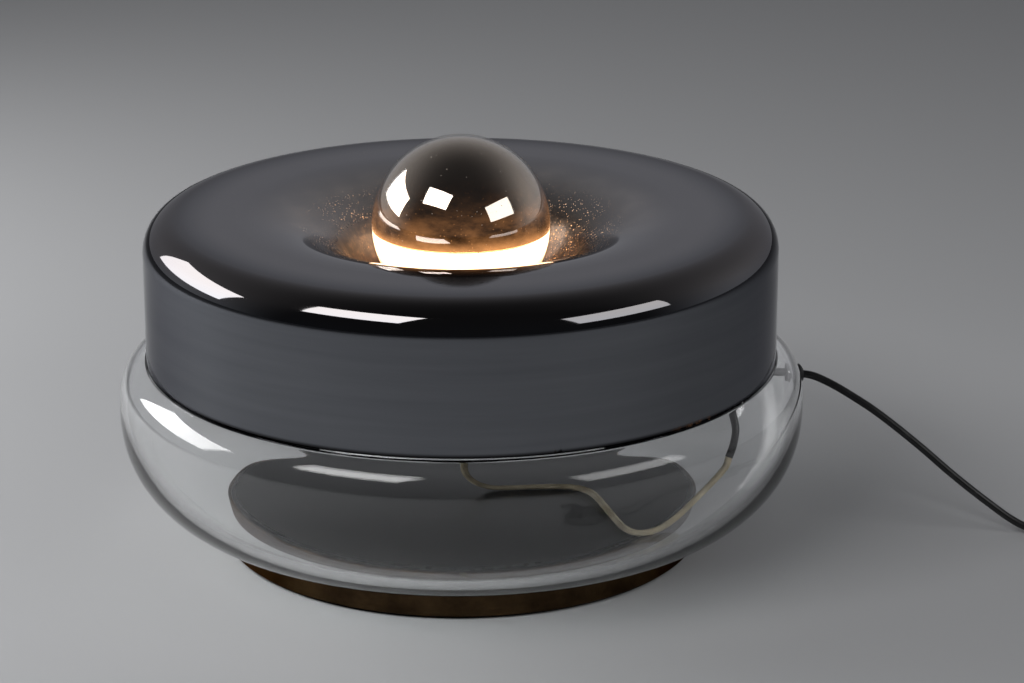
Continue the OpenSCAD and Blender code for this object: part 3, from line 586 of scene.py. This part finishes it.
LOOKS = {
    "smoked_mirror": smoked_mirror(),
    "clear_glass": clear_glass(),
    "lit_glass": lit_glass(),
    "glowing_liner": glowing_liner(),
    "crown_mirror": crown_mirror(),
    "aged_brass": aged_brass(),
    "foot_felt": felt("foot_felt", (0.022, 0.021, 0.021)),
    "pad_felt": felt("pad_felt", (0.008, 0.008, 0.009)),
    "fibreboard": plain("fibreboard", (0.16, 0.12, 0.09), 0.8, grain=500.0, depth=0.2),
    "fibre": plain("fibre", (0.45, 0.40, 0.32), 0.8, grain=700.0, depth=0.2),
    "bakelite": plain("bakelite", (0.022, 0.018, 0.016), 0.25, coat=0.4, depth=0.02),
    "porcelain": plain("porcelain", (0.82, 0.80, 0.75), 0.22, coat=0.5, spread=0.05, depth=0.02),
    "contact_brass": plain("contact_brass", (0.62, 0.47, 0.22), 0.3, metallic=1.0, depth=0.05),
    "steel": plain("steel", (0.55, 0.55, 0.54), 0.35, metallic=1.0, depth=0.05),
    "cap_metal": plain("cap_metal", (0.62, 0.61, 0.58), 0.35, metallic=1.0, depth=0.05),
    "black_glass": plain("black_glass", (0.01, 0.01, 0.012), 0.15, coat=0.5, depth=0.01),
    "rubber": plain("rubber", (0.018, 0.018, 0.019), 0.55, depth=0.12),
    "black_plastic": plain("black_plastic", (0.02, 0.02, 0.021), 0.42, depth=0.12),
    "rocker_plastic": plain("rocker_plastic", (0.03, 0.03, 0.032), 0.25, coat=0.3, depth=0.02),
    "cord_sheath": cord_sheath(),
    "braided_lead": braided_lead(),
    "hot_wire": Look("hot_wire", {"Base Color": (1.0, 0.7, 0.4), "Emission Color": (1.0, 0.62, 0.3),
                                  "Emission Strength": 40.0}),
}

NODE_LOOKS = {
    "foot_felt": "foot_felt", "glass_pad": "pad_felt", "base_plate": "fibreboard",
    "washer_upper": "fibre", "washer_lower": "fibre", "ring_upper": "bakelite", "ring_lower": "bakelite",
    "holder_shell": "bakelite", "holder_cap": "bakelite", "lead_bush": "bakelite", "holder_insert": "porcelain",
    "screw_sleeve": "contact_brass", "terminal_screws": "contact_brass", "contact_button": "contact_brass",
    "contact_spring": "steel", "bulb_screw_cap": "cap_metal", "bulb_tip": "cap_metal",
    "bulb_insulator": "black_glass", "bulb_stem": "lit_glass", "bulb_wires": "steel", "bulb_hooks": "steel",
    "filament": "hot_wire", "cord_grommet": "rubber", "cord_tie": "rubber", "switch_base": "black_plastic",
    "switch_cover": "black_plastic", "switch_reliefs": "rubber", "switch_rocker": "rocker_plastic",
    "switch_axle": "steel", "switch_bridge": "contact_brass", "switch_contacts": "contact_brass",
    "switch_screws": "steel", "plug_body": "black_plastic", "plug_relief": "rubber",
    "plug_pins": "contact_brass", "plug_sleeves": "black_plastic",
}
for node_name, look_name in NODE_LOOKS.items():
    if node_name in nodes:
        nodes[node_name].data.materials.clear()
        nodes[node_name].data.materials.append(LOOKS[look_name].material)


# Glass pieces


def shade_glass():
    """The mirrored shade: wall, rounded rim, dished top and the funnel down to its clamped flange."""
    rim_r, rim_z = SHADE_R - SHADE_ROUND, SHADE_TOP - SHADE_ROUND
    mouth_z = SHADE_TOP - MOUTH_ROUND
    dish, slope = math.radians(DISH_SLOPE), math.radians(FUNNEL_SLOPE)
    flange_z = SHADE_TOP - FUNNEL_DEPTH
    lip_r = MOUTH_R - (MOUTH_ROUND - LIP_ROUND) * math.sin(dish)
    lip_z = mouth_z + (MOUTH_ROUND - LIP_ROUND) * math.cos(dish)
    cone_r = lip_r - LIP_ROUND * math.sin(slope)
    cone_z = lip_z + LIP_ROUND * math.cos(slope)
    throat_r = cone_r - (cone_z - flange_z) / math.tan(slope) - THROAT_ROUND * math.tan(slope / 2)
    throat_z = flange_z + THROAT_ROUND
    under_throat = THROAT_ROUND + SHADE_WALL
    edge = SHADE_EDGE
    section = Section(SHADE_R, SEAT_Z + edge)
    section.line(SHADE_R, rim_z).bend(rim_r, rim_z, 90)
    section.line(MOUTH_R, SHADE_TOP).bend(MOUTH_R, mouth_z, DISH_SLOPE)
    section.bend(lip_r, lip_z, FUNNEL_SLOPE - DISH_SLOPE)
    section.line(throat_r + THROAT_ROUND * math.sin(slope), throat_z - THROAT_ROUND * math.cos(slope))
    section.bend(throat_r, throat_z, -FUNNEL_SLOPE)
    section.line(SHADE_HOLE_R, flange_z).line(SHADE_HOLE_R, flange_z - SHADE_WALL)
    section.line(throat_r, throat_z - under_throat).bend(throat_r, throat_z, FUNNEL_SLOPE)
    section.line(cone_r + SHADE_WALL * math.sin(slope), cone_z - SHADE_WALL * math.cos(slope))
    section.bend(lip_r, lip_z, DISH_SLOPE - FUNNEL_SLOPE).bend(MOUTH_R, mouth_z, -DISH_SLOPE)
    section.line(rim_r, SHADE_TOP - SHADE_WALL)
    section.bend(rim_r, rim_z, -90).line(SHADE_R - SHADE_WALL, SEAT_Z + edge)
    section.bend(SHADE_R - SHADE_WALL + edge, SEAT_Z + edge, 90, 22.5)
    section.line(SHADE_R - edge, SEAT_Z).bend(SHADE_R - edge, SEAT_Z + edge, 90, 22.5)
    return section.turned()


def bowl_glass():
    """The clear bowl: floor, round side, shoulder, the seat under the shade and the neck that centres it."""
    low, floor_z, crest_z = FOOT_TOP, FOOT_TOP + BOWL_FLOOR, FOOT_TOP + BOWL_H
    bowl_r, round_r = BOWL_R * MM, BOWL_R * MM - LOW_ROUND
    shoulder_r, shoulder_z = bowl_r - TOP_ROUND, crest_z - TOP_ROUND
    inner_low = LOW_ROUND - BOWL_WALL
    neck_r, neck_top, lip = SHADE_R - SHADE_WALL - SHADE_SLIP, SEAT_Z + NECK_H, NECK_LIP
    seat_r = SHADE_R + SEAT_SLACK
    mouth_r = neck_r - NECK_WALL
    fine = math.degrees(BOWL_RING)
    section = Section(0, low)
    outside = len(section.line(round_r, low).bm.verts)
    section.bend(round_r, low + LOW_ROUND, 90, fine / LOW_ROUND).line(bowl_r, shoulder_z, 14)
    shoulder_turn = math.degrees(math.acos((seat_r - shoulder_r) / TOP_ROUND))
    section.bend(shoulder_r, shoulder_z, shoulder_turn, fine / TOP_ROUND).eased(outside, EASING_TIMES)
    section.line(seat_r, SEAT_Z).line(neck_r, SEAT_Z).line(neck_r, neck_top - lip)
    section.bend(neck_r - lip, neck_top - lip, 90, 15).line(mouth_r + lip, neck_top)
    section.bend(mouth_r + lip, neck_top - lip, 90, 15).line(mouth_r, crest_z - BOWL_WALL)
    inside = len(section.line(shoulder_r, crest_z - BOWL_WALL).bm.verts)
    section.bend(shoulder_r, shoulder_z, -90, fine / (TOP_ROUND - BOWL_WALL))
    section.line(bowl_r - BOWL_WALL, floor_z + inner_low, 11)
    section.bend(round_r, floor_z + inner_low, -90, fine / inner_low).eased(inside, EASING_TIMES).line(0, floor_z)
    return section.turned(240, closed=False)


def drilled(bm, cutter):
    """A shape with another taken out of it, as a mesh."""
    holders = []
    for name, shape in (("undrilled", bm), ("drill", cutter)):
        mesh = bpy.data.meshes.new(name)
        shape.to_mesh(mesh)
        shape.free()
        holder = bpy.data.objects.new(name, mesh)
        bpy.context.scene.collection.objects.link(holder)
        holders.append(holder)
    cut = holders[0].modifiers.new("cut", "BOOLEAN")
    cut.object = holders[1]
    cut.operation = "DIFFERENCE"
    cut.solver = "EXACT"
    depsgraph = bpy.context.evaluated_depsgraph_get()
    mesh = bpy.data.meshes.new_from_object(holders[0].evaluated_get(depsgraph), depsgraph=depsgraph)
    for holder in holders:
        old = holder.data
        bpy.data.objects.remove(holder)
        bpy.data.meshes.remove(old)
    return mesh


def cord_drill():
    """A round bar through the bowl's side, for the grommet's hole."""
    bm = bmesh.new()
    bmesh.ops.create_cone(bm, cap_ends=True, segments=48, radius1=HOLE_R, radius2=HOLE_R, depth=DRILL_DEPTH)
    turn = Matrix.Rotation(math.radians(CORD_SIDE), 4, "Z") @ Matrix.Translation(mm(BOWL_R - 3, 0, HOLE_Z))
    bmesh.ops.transform(bm, matrix=turn @ Matrix.Rotation(math.pi / 2, 4, "Y"), verts=bm.verts)
    return bm


def globe_glass():
    """The bulb's clear envelope, down to the end of its neck in the screw cap."""
    neck_r = (GLOBE_R + NECK_ROUND) * math.cos(math.radians(NECK_ANGLE))
    neck_z = GLOBE_Z - (GLOBE_R + NECK_ROUND) * math.sin(math.radians(NECK_ANGLE))
    inner_r = GLOBE_R - GLOBE_WALL
    end_r, end_z = neck_r - NECK_ROUND, globe_low.z
    section = Section(0, GLOBE_Z + GLOBE_R)
    section.bend(0, GLOBE_Z, -90 - NECK_ANGLE).bend(neck_r, neck_z, NECK_ANGLE)
    section.line(end_r, end_z).line(end_r - GLOBE_WALL, end_z).line(end_r - GLOBE_WALL, neck_z)
    section.bend(neck_r, neck_z, -NECK_ANGLE)
    section.line(inner_r * math.cos(math.radians(NECK_ANGLE)), GLOBE_Z - inner_r * math.sin(math.radians(NECK_ANGLE)))
    section.bend(0, GLOBE_Z, 90 + NECK_ANGLE)
    return section.turned(128, closed=False)


def crown_shell():
    """The silvering inside the upper half."""
    outer_r = GLOBE_R - GLOBE_WALL - CROWN_GAP
    below = math.degrees(math.asin(MIRROR_OVERLAP / GLOBE_R))
    section = Section(0, GLOBE_Z + outer_r)
    section.bend(0, GLOBE_Z, -90 - below)
    inner_r = outer_r - MIRROR_T
    section.line(inner_r * math.cos(math.radians(below)), GLOBE_Z - inner_r * math.sin(math.radians(below)))
    section.bend(0, GLOBE_Z, 90 + below)
    return section.turned(128, closed=False)


def bulb_liner():
    """A thin shell just inside the clear lower half of the globe."""
    radius = GLOBE_R - GLOBE_WALL - GLOW_GAP
    start = math.radians(GLOW_START)
    section = Section(radius * math.cos(start), GLOBE_Z - radius * math.sin(start))
    section.bend(0, GLOBE_Z, GLOW_START + GLOW_SHORT - NECK_ANGLE)
    return section.turned(96, closed=False)


def brass_band():
    """The band round the foot, with eased edges."""
    ease, wall = BAND_EASE, BAND_WALL
    section = Section(FOOT_R - wall, FOOT_LOW)
    section.line(FOOT_R - ease, FOOT_LOW).bend(FOOT_R - ease, FOOT_LOW + ease, 90, 22.5)
    section.line(FOOT_R, FOOT_TOP - ease).bend(FOOT_R - ease, FOOT_TOP - ease, 90, 22.5)
    section.line(FOOT_R - wall, FOOT_TOP)
    return section.turned(160)


add_piece("shade_glass", shade_glass(), LOOKS["smoked_mirror"], "shade", ["mirror_shade"])
add_piece("bowl_glass", drilled(bowl_glass(), cord_drill()), LOOKS["clear_glass"], "bowl",
          ["clear_bowl"], crease=50)
add_piece("globe_glass", globe_glass(), LOOKS["lit_glass"], "bulb", ["bulb_globe"])
add_piece("crown_silvering", crown_shell(), LOOKS["crown_mirror"], "bulb", ["bulb_crown"])
add_piece("globe_glow", bulb_liner(), LOOKS["glowing_liner"], "bulb")
add_piece("brass_band", brass_band(), LOOKS["aged_brass"], "bowl", ["base_band"])


# Cords and leads


def at_hole(r):
    """A point on the line through the grommet's hole, at a distance from the lamp's axis."""
    angle = math.radians(CORD_SIDE)
    return (r * math.cos(angle), r * math.sin(angle), HOLE_Z)


mains_route = [
    at_hole(BOWL_R - 2.5), at_hole(BOWL_R + 5.2), (BOWL_R + 11, 20.8, 104.6), (BOWL_R + 18.5, 19.7, 101.6),
    (BOWL_R + 27.5, 17.5, 97.3), (BOWL_R + 37.5, 14.6, 91.8),
    (BOWL_R + 53, 10, 82.5), (BOWL_R + 71, 5, 69.5), (BOWL_R + 89, -0.5, 55.5),
    (BOWL_R + 106, -6, 41.5), (BOWL_R + 123, -11, 28.5), (BOWL_R + 136, -14, 19), (BOWL_R + 148, -17, 10.8),
    (BOWL_R + 159, -19.5, 5.2), (BOWL_R + 167, -21, 3.2), (BOWL_R + 175, -23.6, FLOOR_Z),
    (BOWL_R + 181.8, -29.4, FLOOR_Z), (BOWL_R + 186.4, -37.4, FLOOR_Z), (SWITCH_X, -46.3, 3.2),
    (SWITCH_X, -56, 4.4), (SWITCH_X, -63, 5.7), (SWITCH_X, SWITCH_FAR + RELIEF_L + 4, 6.6),
    (SWITCH_X, SWITCH_FAR + RELIEF_L, ENTRY_Z), (SWITCH_X, SWITCH_FAR + RELIEF_L / 2, ENTRY_Z),
    (SWITCH_X, SWITCH_FAR - ENTRY_DEPTH, ENTRY_Z),
]
link_route = [
    (SWITCH_X, SWITCH_NEAR + ENTRY_DEPTH, ENTRY_Z), (SWITCH_X, SWITCH_NEAR - RELIEF_L / 2, ENTRY_Z),
    (SWITCH_X, SWITCH_NEAR - RELIEF_L, ENTRY_Z), (SWITCH_X, -186, 5.9), (BOWL_R + 187.6, -196, 4.2),
    (BOWL_R + 186, -207, 3), (BOWL_R + 182.5, -221, FLOOR_Z), (BOWL_R + 176, -237, FLOOR_Z),
    (BOWL_R + 167, -254, FLOOR_Z), (BOWL_R + 156, -269.5, FLOOR_Z), (BOWL_R + 142.5, -283, FLOOR_Z),
    (BOWL_R + 126.5, -293, FLOOR_Z), (BOWL_R + 109, -299, FLOOR_Z), (BOWL_R + 91, -302.5, FLOOR_Z),
    (BOWL_R + 73, -304, FLOOR_Z), (BOWL_R + 55, -304, FLOOR_Z), (COIL_SIDE + 26, -304, FLOOR_Z),
    (COIL_SIDE + 16.4, -305.5, FLOOR_Z), (COIL_SIDE + 7.3, -311.3, FLOOR_Z), (COIL_SIDE + 1.5, -320.4, FLOOR_Z),
    (COIL_SIDE, -329, 2.9), (COIL_SIDE, -340, 3.2), (COIL_SIDE, -351, 3.6), (COIL_SIDE, COIL_Y + 5.5, COIL_Z),
]


def coil_point(turns):
    """A point of the stored coil: three turns inward on the floor, then three outward on top of them."""
    inward = min(turns, COIL_TURNS - turns)
    climb = min(1.0, max(0.0, (turns - COIL_TURNS / 2 + 0.25) * 2))
    r = COIL_R - COIL_STEP * inward
    return (COIL_X + r * math.cos(math.tau * turns), COIL_Y - r * math.sin(math.tau * turns),
            COIL_Z + COIL_STEP * climb)


COIL_RINGS = 24
coil_route = [coil_point(i / COIL_RINGS) for i in range(COIL_TURNS * COIL_RINGS + 1)]
tail_route = [
    (COIL_SIDE, COIL_Y - 5.5, COIL_Z + COIL_STEP), (COIL_SIDE, COIL_Y - 17, 9.8), (COIL_SIDE - 3, COIL_Y - 28, 8.9),
    (COIL_SIDE - 8, COIL_Y - 38, 7.9), (COIL_SIDE - 12, COIL_Y - 47, 7.2), (PLUG_X, PLUG_Y + RELIEF_L, PLUG_Z),
    (PLUG_X, PLUG_Y + RELIEF_L / 2, PLUG_Z), (PLUG_X, PLUG_Y - ENTRY_DEPTH, PLUG_Z),
]
sleeve_end = (BOWL_R - 56, -63, SLEEVE_Z - 35)
sleeve_route = [
    at_hole(BOWL_R - 2.5), at_hole(BOWL_R - 12), (BOWL_R - 23, 17, SLEEVE_Z - 2.6),
    (BOWL_R - 33, 8.5, SLEEVE_Z - 1), (BOWL_R - 42, -6, SLEEVE_Z - 0.5), (BOWL_R - 49, -22, SLEEVE_Z - 1),
    (BOWL_R - 53, -38, SLEEVE_Z - 2.5), (BOWL_R - 54, -50, SLEEVE_Z - 7.5), (BOWL_R - 52, -57, SLEEVE_Z - 17),
    (BOWL_R - 53, -60.5, SLEEVE_Z - 26.5), sleeve_end,
]
lead_route = [
    sleeve_end, (BOWL_R - 58.4, -65, SLEEVE_Z - 41.8), (172, -71, 60), (164, -78, 52.5), (156, -86, 45.5),
    (147, -95, 39), (137, -103.5, LEAD_LOW + 2), (127, -109, LEAD_LOW + 0.1), (117, -108.5, LEAD_LOW),
    (110, -98, LEAD_LOW), (105.5, -81, LEAD_LOW), (102, -64, LEAD_LOW), (98.5, -47, LEAD_LOW),
    (95, -31, LEAD_LOW), (90, -16, LEAD_LOW), (81, -5, LEAD_LOW), (69, 0, LEAD_LOW), (56, 1.5, LEAD_LOW),
    (43, 1.5, LEAD_LOW), (32, 1, LEAD_LOW), (22, 0.6, LEAD_LOW + 0.6), (13.5, 0.3, LEAD_LOW + 4),
    (7, 0.1, LEAD_LOW + 10.5), (3, 0, LEAD_LOW + 19), (1, 0, LEAD_LOW + 28.5), (0.2, 0, LEAD_LOW + 38),
    (0, 0, CAP_LOW - 9), (0, 0, CAP_LOW + 4),
]

mains_path = smooth_path(mains_route)
store_path = smooth_path(link_route + coil_route + tail_route, 3)
sleeve_path = smooth_path(sleeve_route)
lead_path = smooth_path(lead_route)

mains = add_piece("mains_flex", tube_mesh("mains_flex", mains_path, CORD_R), LOOKS["cord_sheath"],
                  "bowl", ["mains_cord"])
store = add_piece("stored_flex", tube_mesh("stored_flex", store_path, CORD_R), LOOKS["cord_sheath"],
                  "bowl", ["cord_link", "cord_coil", "cord_tail"])
sleeve = add_piece("black_sleeve", tube_mesh("black_sleeve", sleeve_path, CORD_R), LOOKS["cord_sheath"],
                   "bowl", ["lead_sleeve"])
lead = add_piece("cream_lead", tube_mesh("cream_lead", lead_path, LEAD_R), LOOKS["braided_lead"],
                 None, ["inner_lead"])
mm(81, -5, 32)
mm(0, 0, 79)
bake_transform(lead)

path_length(mains_path)
path_length(store_path)
path_length(sleeve_path)
path_length(lead_path)


# Stage

CAMERA_PLACE = (0.0, -2.116, 0.8386)
CAMERA_DOWN, CAMERA_ASIDE = 18.31, -0.95
SENSOR_WIDTH, LENS, VIEW_END = 36.0, 112.5, 100.0
FLOOR_HALF = 12.0
FLOOR_COLOUR = (0.52, 0.525, 0.535)
SKY_DIM, SKY_LIGHT = (0.022, 0.022, 0.024, 1.0), (0.37, 0.374, 0.392, 1.0)
SKY_HEIGHT, SKY_BACK = (1.15, 0.1), (-0.45, 0.55)


def add_camera():
    """The photo's viewpoint: a long lens, looking down on the lamp."""
    data = bpy.data.cameras.new("photo_view")
    data.sensor_width = SENSOR_WIDTH
    data.lens = LENS
    data.clip_end = VIEW_END
    camera = bpy.data.objects.new("photo_view", data)
    camera.location = CAMERA_PLACE
    camera.rotation_euler = (math.radians(90 - CAMERA_DOWN), 0.0, math.radians(CAMERA_ASIDE))
    bpy.context.scene.collection.objects.link(camera)
    bpy.context.scene.camera = camera


def add_softbox(name, azimuth, elevation, distance, width, height, watts):
    """A rectangular soft light that faces the shade's top."""
    data = bpy.data.lights.new(name, "AREA")
    data.shape = "RECTANGLE"
    data.size, data.size_y = width, height
    data.energy = watts
    lamp = bpy.data.objects.new(name, data)
    turn, lift = math.radians(azimuth), math.radians(elevation)
    way = Vector((math.cos(turn) * math.cos(lift), math.sin(turn) * math.cos(lift), math.sin(lift)))
    lamp.location = Vector((0.0, 0.0, SHADE_TOP)) + way * distance
    lamp.rotation_euler = way.to_track_quat("Z", "Y").to_euler()
    bpy.context.scene.collection.objects.link(lamp)


def add_floor():
    """A plain pale floor."""
    bm = bmesh.new()
    bmesh.ops.create_grid(bm, x_segments=1, y_segments=1, size=FLOOR_HALF)
    mesh = bpy.data.meshes.new("studio_floor")
    bm.to_mesh(mesh)
    bm.free()
    look = Look("studio_floor", {"Base Color": FLOOR_COLOUR, "Roughness": 0.7})
    mesh.materials.append(look.material)
    floor = bpy.data.objects.new("studio_floor", mesh)
    bpy.context.scene.collection.objects.link(floor)


def add_world():
    """Soft surroundings: lighter low down behind the lamp, dim overhead and in front."""
    world = bpy.data.worlds.new("studio")
    bpy.context.scene.world = world
    world.use_nodes = True
    tree = world.node_tree
    background = tree.nodes["Background"]
    way = tree.nodes.new("ShaderNodeTexCoord")
    split = tree.nodes.new("ShaderNodeSeparateXYZ")
    height = tree.nodes.new("ShaderNodeMapRange")
    back = tree.nodes.new("ShaderNodeMapRange")
    both = tree.nodes.new("ShaderNodeMath")
    tone = tree.nodes.new("ShaderNodeMix")
    height.interpolation_type = back.interpolation_type = "SMOOTHSTEP"
    both.operation = "MULTIPLY"
    tone.data_type = "RGBA"
    for node, (low, high) in ((height, SKY_HEIGHT), (back, SKY_BACK)):
        node.inputs["From Min"].default_value = low
        node.inputs["From Max"].default_value = high
    tone.inputs[6].default_value = SKY_DIM
    tone.inputs[7].default_value = SKY_LIGHT
    tree.links.new(way.outputs["Generated"], split.inputs[0])
    tree.links.new(split.outputs["Z"], height.inputs["Value"])
    tree.links.new(split.outputs["Y"], back.inputs["Value"])
    tree.links.new(height.outputs[0], both.inputs[0])
    tree.links.new(back.outputs[0], both.inputs[1])
    tree.links.new(both.outputs[0], tone.inputs["Factor"])
    tree.links.new(tone.outputs[2], background.inputs["Color"])


bpy.context.scene.view_settings.view_transform = "Standard"
add_camera()
add_floor()
add_world()
add_softbox("left_window", azimuth=160, elevation=20, distance=1.5, width=1.2, height=0.6, watts=13.5)
add_softbox("front_window", azimuth=-132, elevation=45, distance=1.9, width=1.1, height=0.68, watts=14)
add_softbox("right_window", azimuth=-32, elevation=26, distance=2.2, width=1.4, height=0.75, watts=8)
